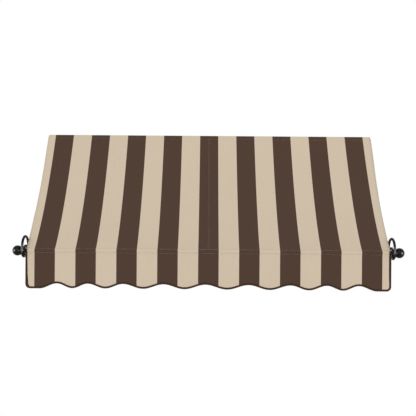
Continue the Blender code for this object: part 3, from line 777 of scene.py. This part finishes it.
# VALANCE. One strip of the same canvas across the whole front, its stripes matched to the canopy's.
# It is sewn over the canopy's lower edge and to the sleeve, then hangs plumb. Its lower edge and
# corners are cut to a scalloped pattern, laid on by hand, so it hangs a little lower on the right.
VALANCE_LAP = 0.006
POCKET_COVE = 0.006
CORNER = 0.022
CORNER_TURNS = (0, 8, 16, 25, 35, 46, 58, 72)
STRAIGHT_END = 0.0684
SCALLOP_PITCHES = (0.211, 0.204, 0.177, 0.155)
LAST_FALL = 0.088
MIDDLE_CREST = 0.0142
SCALLOP_RISE = 0.0255
SCALLOP_DIP = 0.0025
HEM_LEAN = 0.0020
SWAY, SWAY_BEND = 0.0022, 1.5
SWAY_START, SWAY_DROP = 0.02, 0.17
SWAY_WAVES, SWAY_LAYER = 3.1, (0.3, 1.7)
OVER_STEPS, COVE_STEPS, PLUMB_ROWS = 24, 5, 30
VALANCE_STEPS, CORNER_CLEAR = 520, 0.001

valance_low, valance_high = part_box("valance")
VALANCE_HALF = valance_high.x
HEM_Z = valance_low.z
OVER_TUBE = AROUND + LAYER
cove = on_circle(FRONT_AXIS, OVER_TUBE + POCKET_COVE, -POCKET_TURN)
PLUMB_Y = cove[0] + POCKET_COVE


def scallop(x):
    """Height of the cut edge above its straight ends. The middle crest stands to the left."""
    pattern = sum(SCALLOP_PITCHES) + LAST_FALL
    from_crest = x + MIDDLE_CREST
    half = VALANCE_HALF - STRAIGHT_END + math.copysign(MIDDLE_CREST, from_crest)
    left_over = abs(from_crest) * pattern / half
    for pitch in SCALLOP_PITCHES:
        if left_over < pitch:
            wave = (1 + math.cos(2 * math.pi * left_over / pitch)) / 2
            return SCALLOP_DIP + (SCALLOP_RISE - SCALLOP_DIP) * wave
        left_over -= pitch
    if left_over < LAST_FALL:
        return SCALLOP_RISE * (1 + math.cos(math.pi * left_over / LAST_FALL)) / 2
    return 0.0


def cut_edge(x):
    inwards = VALANCE_HALF - abs(x)
    hem = HEM_Z - HEM_LEAN * x
    if inwards >= CORNER:
        return hem + scallop(x)
    return hem + CORNER - math.sqrt(max(CORNER**2 - (CORNER - inwards) ** 2, 0.0))


def sway(x, z):
    """How far the hanging cloth stands forward of plumb, more towards its free edge."""
    drop = min(max((FRONT_AXIS[1] - SWAY_START - z) / SWAY_DROP, 0.0), 1.0)
    return SWAY * drop**SWAY_BEND * noise.noise(Vector((x * SWAY_WAVES, *SWAY_LAYER)))


front_path = [slope_point(share_of(VALANCE_LAP * k / 2, FRONT_ANGLE), LAYER) for k in (2, 1)]
front_path += bent(FRONT_AXIS, OVER_TUBE, FRONT_ANGLE, -POCKET_TURN, OVER_STEPS)
front_path += bent(cove, POCKET_COVE, math.pi - POCKET_TURN, math.pi, COVE_STEPS)[1:]
front_along = distances(front_path)
PLUMB_TOP = front_path[-1][1]
rounded = [VALANCE_HALF - CORNER * (1 - math.cos(math.radians(turn))) for turn in CORNER_TURNS]
straight = evenly(VALANCE_HALF, VALANCE_STEPS)
valance_across = sorted(
    {x for x in straight if abs(x) < VALANCE_HALF - CORNER - CORNER_CLEAR}
    | {side * x for x in rounded for side in (-1, 1)}
)
valance_rows = []
for (y, z), along in zip(front_path, front_along):
    valance_rows.append([((x, y, z), (x, along)) for x in valance_across])
for r in range(1, PLUMB_ROWS + 1):
    row = []
    for x in valance_across:
        z = PLUMB_TOP + (cut_edge(x) - PLUMB_TOP) * r / PLUMB_ROWS
        row.append(((x, PLUMB_Y - sway(x, z), z), (x, front_along[-1] + PLUMB_TOP - z)))
    valance_rows.append(row)
valance = cloth("scalloped_valance", valance_rows, canvas)
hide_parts("valance")


# BINDING. Dark brown woven braid, folded in two over the valance's cut edge and up both its sides.
# It shows wider on the sides than below, and widest at the left corner, where it is joined.
BRAID_WIDTH = 0.0085
BRAID = 0.0006
BRAID_WARP, BRAID_WEFT, BRAID_DEPTH = 0.0008, 0.0006, 0.00015
BRAID_BROWN = (0.0575, 0.0315, 0.0195)
BRAID_PATCH, BRAID_SHADES = 0.05, (0.9, 1.1)
LEFT_BRAID = ((0.005, 1.65), (0.09, 1.15), (0.16, 1.0))
RIGHT_BRAID = ((0.03, 1.05), (0.085, 1.22))
SIDE_REACH = 0.026
POCKET_TUCK = 0.0020
EDGE_STEP = 0.003
CORNER_STEPS = 15
BRAID_STEPS = (1.0, 0.6, 0.25)
FOLD_TURNS = (60, 20, -20, -60)

FOLD = CANVAS / 2 + GAP + BRAID / 2


def brown_braid():
    material, shader = new_finish("dark brown binding braid", roughness=0.85)
    colour = shaded(material, BRAID_BROWN, patches(material, BRAID_PATCH), *BRAID_SHADES)
    woven(material, shader, colour, BRAID_WARP, BRAID_WEFT, BRAID_DEPTH)
    shader.inputs["Specular IOR Level"].default_value = 0.0
    shader.inputs["Sheen Weight"].default_value = SHEEN
    return material


def bound_edge():
    """(X, Z) points along the edge from the top of the left side to the top of the right side."""
    inner = VALANCE_HALF - CORNER
    rise = HEM_Z + CORNER
    side_steps = round((PLUMB_TOP - rise) / EDGE_STEP)
    right = []
    for i in range(side_steps + 1):
        right.append((VALANCE_HALF, PLUMB_TOP + (rise - PLUMB_TOP) * i / side_steps))
    for i in range(1, CORNER_STEPS):
        turn = math.radians(90 * i / CORNER_STEPS)
        right.append((inner + CORNER * math.cos(turn), rise - CORNER * math.sin(turn)))
    flat_steps = round(2 * inner / EDGE_STEP)
    wave = [inner * (1 - 2 * i / flat_steps) for i in range(flat_steps + 1)]
    left = [(-x, z) for x, z in right]
    edge = []
    for x, z in left + [(-x, HEM_Z + scallop(-x)) for x in wave] + right[::-1]:
        lean = HEM_LEAN * x * min((PLUMB_TOP - z) / (PLUMB_TOP - rise), 1.0)
        edge.append((x, z - lean))
    return edge


def inwards_at(edge, i):
    """The way from the bound edge into the cloth, at the edge's point i."""
    before, after = edge[max(i - 1, 0)], edge[min(i + 1, len(edge) - 1)]
    along = Vector((after[0] - before[0], after[1] - before[1])).normalized()
    return -along.y, along.x


def spread(x, z):
    """How many times its usual width the braid shows at a spot of the bound edge."""
    wide = eased(LEFT_BRAID if x < 0 else RIGHT_BRAID, z - HEM_Z)
    at_side = eased(((0.0, 1.0), (SIDE_REACH, 0.0)), VALANCE_HALF - abs(x))
    return 1 + (wide - 1) * at_side


edge_line = bound_edge()
edge_along = distances(edge_line)
braid_section = [(BRAID_WIDTH * share, FOLD) for share in BRAID_STEPS]
for angle in FOLD_TURNS:
    turn = math.radians(angle)
    braid_section.append((-FOLD * math.cos(turn), FOLD * math.sin(turn)))
braid_section += [(inwards, -back) for inwards, back in reversed(braid_section[:3])]
braid_across = distances(braid_section)
braid_rows = []
for i, (x, z) in enumerate(edge_line):
    way_x, way_z = inwards_at(edge_line, i)
    row = []
    for (inwards, back), across in zip(braid_section, braid_across):
        reach = inwards * spread(x, z) if inwards > 0 else inwards
        px, pz = x + way_x * reach, z + way_z * reach
        row.append(((px, PLUMB_Y - sway(px, pz) + back, pz), (across, edge_along[i])))
    braid_rows.append(row)
brown_weave = brown_braid()
braid = cloth("binding_braid", braid_rows, brown_weave, BRAID)
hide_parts("valance_binding")

pocket_section = braid_section[:-3] + [(POCKET_TUCK * share, -FOLD) for share in (0.0, 0.5, 1.0)]
pocket_across = distances(pocket_section)
for place, side in SIDES:
    rows = []
    for i in range(2, len(front_path)):
        (y0, z0), (y1, z1) = front_path[i - 1], front_path[min(i + 1, len(front_path) - 1)]
        down = Vector((y1 - y0, z1 - z0)).normalized()
        y, z = front_path[i]
        wide = spread(side * VALANCE_HALF, z)
        row = []
        for (inwards, out), across in zip(pocket_section, pocket_across):
            x = side * (VALANCE_HALF - (inwards * wide if out == FOLD else inwards))
            row.append(((x, y + down.y * out, z - down.x * out), (across, front_along[i])))
        rows.append(row)
    pocket_braid = cloth(f"binding_over_pocket_{place}", rows, brown_weave, BRAID)


# STITCHES. Bonded polyester thread in lockstitch, pale on the canvas and brown on the braid: one
# row along the top pocket, two along the front pocket, two down the felled seam, and one each in
# the side hems and the braid.
STITCH = 0.0030
STITCH_SHARE = 0.86
THREAD = 0.00018
FINE_THREAD = 0.00011
PALE_THREAD = (0.74, 0.66, 0.53)
BROWN_THREAD = (0.060, 0.032, 0.023)
THREAD_PATCH, THREAD_SHADES = 0.02, (0.92, 1.08)
THREAD_TWIST, TWIST_DEPTH = 0.0004, 0.00005
THREAD_GLOSS = 0.15
THREAD_SIDES = 6
BEAD_RINGS = ((-0.6, 0.85, 0.2), (0.0, 1.0, 0.4), (0.6, 0.85, 0.2))
BEAD_DIP = 0.6
SEAM_ROWS = 0.0023
HEM_ROW = 0.8
BRAID_ROW = 0.72
UPPER_ROW = 0.55
LOWER_ROW = 0.6
ROW_END = 0.002
SLOPE_ROW_FOOT = 0.004
TOP_ROW_SHARE = 0.998
TOP_ROW_STEPS, SLOPE_ROW_STEPS, FRONT_ROW_STEPS = 240, 90, 40


def bonded_thread(name, colour):
    material, shader = new_finish(name, roughness=0.55)
    dyed = shaded(material, colour, patches(material, THREAD_PATCH), *THREAD_SHADES)
    join_to(material, dyed, shader, "Base Color")
    twist = raised(material, patches(material, THREAD_TWIST), TWIST_DEPTH)
    join_to(material, twist, shader, "Normal")
    shader.inputs["Specular IOR Level"].default_value = THREAD_GLOSS
    return material


def sew(name, line, out_of, thread, radius=THREAD):
    """Stitches along a line of points. Each is a short bead of thread, lowest at its two ends,
    where it dips into the cloth. out_of gives the way out of the cloth at a point."""
    marks = [Vector(point) for point in line]
    reach = [0.0]
    for here, after in zip(marks, marks[1:]):
        reach.append(reach[-1] + (after - here).length)
    count = int(reach[-1] / STITCH)
    half = STITCH * STITCH_SHARE / 2
    bm = bmesh.new()
    k = 0
    for n in range(count):
        middle = (n + 0.5) * reach[-1] / count
        while reach[k + 1] < middle:
            k += 1
        centre = marks[k].lerp(marks[k + 1], (middle - reach[k]) / (reach[k + 1] - reach[k]))
        along = (marks[k + 1] - marks[k]).normalized()
        out = Vector(out_of(centre)).normalized()
        across = along.cross(out).normalized()
        rings = []
        for place, width, rise in BEAD_RINGS:
            ring = []
            for a in range(THREAD_SIDES):
                turn = 2 * math.pi * a / THREAD_SIDES
                up, aside = math.sin(turn) * width + rise, math.cos(turn) * width
                spot = centre + along * half * place + (out * up + across * aside) * radius
                ring.append(bm.verts.new(spot))
            rings.append(ring)
        dip = out * radius * BEAD_DIP
        first, last = (bm.verts.new(centre + along * half * end - dip) for end in (-1, 1))
        for a in range(THREAD_SIDES):
            b = (a + 1) % THREAD_SIDES
            bm.faces.new((first, rings[0][b], rings[0][a]))
            bm.faces.new((last, rings[2][a], rings[2][b]))
            for low, high in zip(rings, rings[1:]):
                bm.faces.new((low[a], low[b], high[b], high[a]))
    return add_piece(name, bm, thread, sharp=180.0)


def above_slope(x, share):
    return (x, *slope_point(share, CANVAS / 2 + slack(x, share) + seam_rise(x, share)))


def out_of_slope(point):
    share = min(max((point.y - SLOPE_FOOT[0]) / RUN, 0.0), 1.0)
    here, above = slope_point(share), slope_point(share, 1.0)
    return (0.0, above[0] - here[0], above[1] - here[1])


pale = bonded_thread("pale bonded thread", PALE_THREAD)
POCKET_ROW = 1 - share_of(POCKET_REACH, TOP_ANGLE)
SEAM_TOP = 0.997
HEM_TOP = POCKET_ROW - 0.010


def down_the_slope(top, place_at):
    """Points down the slope from a share near its top, each as far across as place_at says."""
    foot = share_of(VALANCE_LAP + SLOPE_ROW_FOOT, FRONT_ANGLE)
    shares = [foot + (top - foot) * i / SLOPE_ROW_STEPS for i in range(SLOPE_ROW_STEPS + 1)]
    return [above_slope(place_at(share), share) for share in shares]


top_half = CANOPY_HALF * TOP_ROW_SHARE
top_row = [above_slope(x, POCKET_ROW) for x in evenly(top_half, TOP_ROW_STEPS)]
canopy_rows_sewn = [sew("stitches_top_pocket", top_row, out_of_slope, pale, FINE_THREAD)]
for place, side in SIDES:
    line = down_the_slope(SEAM_TOP, lambda share: side * SEAM_ROWS)
    canopy_rows_sewn.append(sew(f"stitches_seam_{place}", line, out_of_slope, pale, FINE_THREAD))
    line = down_the_slope(HEM_TOP, lambda share: side_edge(side, share) - side * HEM * HEM_ROW)
    canopy_rows_sewn.append(sew(f"stitches_side_hem_{place}", line, out_of_slope, pale))

SEWN_HALF = VALANCE_HALF - ROW_END
upper = slope_point(share_of(VALANCE_LAP * UPPER_ROW, FRONT_ANGLE), LAYER + CANVAS / 2)
lower_turn = POCKET_TURN * LOWER_ROW
lower = on_circle(cove, POCKET_COVE - CANVAS / 2, math.pi - lower_turn)
out_of_cove = (0.0, -math.cos(lower_turn), -math.sin(lower_turn))
for name, (y, z), out_of in (
    ("stitches_front_upper", upper, out_of_slope),
    ("stitches_front_lower", lower, lambda point: out_of_cove),
):
    line = [(x, y, z) for x in evenly(SEWN_HALF, FRONT_ROW_STEPS)]
    sew(name, line, out_of, pale)

braid_line = []
for i, (x, z) in enumerate(edge_line):
    way_x, way_z = inwards_at(edge_line, i)
    reach = BRAID_WIDTH * BRAID_ROW * spread(x, z)
    px, pz = x + way_x * reach, z + way_z * reach
    braid_line.append((px, PLUMB_Y - sway(px, pz) - FOLD - BRAID / 2, pz))
brown = bonded_thread("brown bonded thread", BROWN_THREAD)
sew("stitches_binding", braid_line, lambda point: (0.0, -1.0, 0.0), brown)

# The valance's area, as the flat sheet it was cut from.
valance_area = 2 * VALANCE_HALF * front_along[-1]
for here, after in zip(valance_across, valance_across[1:]):
    valance_area += (after - here) * (PLUMB_TOP - (cut_edge(here) + cut_edge(after)) / 2)


# ROOM. A white studio: a floor where a person would stand under the awning, plain white all round,
# a broad lamp above the camera, and one on either side that only draws the gloss of the arms and
# finials.
FLOOR_Z = -2.5
FLOOR_HALF, FLOOR_BACK = 9, 3
AMBIENT = 0.745
FLOOR_GLOW = 0.17
FLOOR_WHITE = (0.95, 0.95, 0.95, 1.0)
HIGH_LAMP, HIGH_LAMP_WIDTH = 0.80, 40
HIGH_LAMP_WAY = (-0.2, -0.85, 0.49)
GLOSS_LAMP_WIDTH = 24
GLOSS_LAMPS = (
    ("left gloss lamp", (-0.95, -0.31, 0.0), 11.0),
    ("right gloss lamp", (0.81, -0.59, 0.0), 12.0),
)


def lamp(name, towards, strength, width):
    """A far lamp that stands in the direction towards, as broad as its width in degrees."""
    data = bpy.data.lights.new(name, "SUN")
    data.energy = strength
    data.angle = math.radians(width)
    made = bpy.data.objects.new(name, data)
    bpy.context.scene.collection.objects.link(made)
    made.rotation_euler = Vector(towards).to_track_quat("Z", "Y").to_euler()
    return made


lamp("high lamp", HIGH_LAMP_WAY, HIGH_LAMP, HIGH_LAMP_WIDTH)
glossed = bpy.data.collections.new("arms and finials")
for piece in arms + finials:
    glossed.objects.link(piece)
for name, towards, strength in GLOSS_LAMPS:
    gloss_lamp = lamp(name, towards, strength, GLOSS_LAMP_WIDTH)
    gloss_lamp.visible_diffuse = False
    gloss_lamp.light_linking.receiver_collection = glossed

world = bpy.data.worlds.new("white room")
bpy.context.scene.world = world
world.use_nodes = True
lit = world.node_tree.nodes["Background"]
lit.inputs["Color"].default_value = (1.0, 1.0, 1.0, 1.0)
lit.inputs["Strength"].default_value = AMBIENT
white = shader_node(world, "ShaderNodeBackground", Color=(1.0, 1.0, 1.0, 1.0), Strength=1.0)
ray = shader_node(world, "ShaderNodeLightPath").outputs
seen = calculated(world, "MAXIMUM", ray["Is Camera Ray"], ray["Is Glossy Ray"])
seen = calculated(world, "MAXIMUM", seen, ray["Is Transmission Ray"])
both = shader_node(world, "ShaderNodeMixShader", n0=seen, n1=lit.outputs[0], n2=white.outputs[0])
join_to(world, both.outputs[0], world.node_tree.nodes["World Output"], "Surface")

floor_mesh = bpy.data.meshes.new("floor")
floor_corners = [(-FLOOR_HALF, -FLOOR_HALF, 0), (FLOOR_HALF, -FLOOR_HALF, 0)]
floor_corners += [(FLOOR_HALF, FLOOR_BACK, 0), (-FLOOR_HALF, FLOOR_BACK, 0)]
floor_mesh.from_pydata(floor_corners, [], [(0, 1, 2, 3)])
floor = bpy.data.objects.new("floor", floor_mesh)
floor.location = (0.0, 0.0, FLOOR_Z)
bpy.context.scene.collection.objects.link(floor)
floor_white, floor_shader = new_finish("white floor", roughness=0.9)
floor_shader.inputs["Base Color"].default_value = FLOOR_WHITE
camera_ray = shader_node(floor_white, "ShaderNodeLightPath").outputs["Is Camera Ray"]
glow = calculated(floor_white, "MULTIPLY", camera_ray, FLOOR_GLOW)
glow = shader_node(floor_white, "ShaderNodeEmission", Strength=glow).outputs[0]
matt = floor_shader.outputs[0]
top_side = shader_node(floor_white, "ShaderNodeAddShader", n0=matt, n1=glow).outputs[0]
under_side = shader_node(floor_white, "ShaderNodeBsdfTransparent").outputs[0]
facing = shader_node(floor_white, "ShaderNodeNewGeometry").outputs["Backfacing"]
either = shader_node(floor_white, "ShaderNodeMixShader", n0=facing, n1=top_side, n2=under_side)
join_to(floor_white, either.outputs[0], floor_white.node_tree.nodes["Material Output"], "Surface")
floor_mesh.materials.append(floor_white)


# CAMERA. Square to the wall, almost five metres off, at the height of the awning's middle, and held
# by hand, so that it leans by less than half a degree.
CAMERA_PLACE = (-0.0040, -4.847, -0.3962)
CAMERA_LEAN = 0.42
SENSOR, LENS = 36.0, 73.96

camera_data = bpy.data.cameras.new("camera")
camera_data.sensor_width = SENSOR
camera_data.lens = LENS
camera = bpy.data.objects.new("camera", camera_data)
bpy.context.scene.collection.objects.link(camera)
camera.location = CAMERA_PLACE
camera.rotation_euler = (math.pi / 2, -math.radians(CAMERA_LEAN), 0.0)
bpy.context.scene.camera = camera
bpy.context.scene.view_settings.view_transform = "Standard"
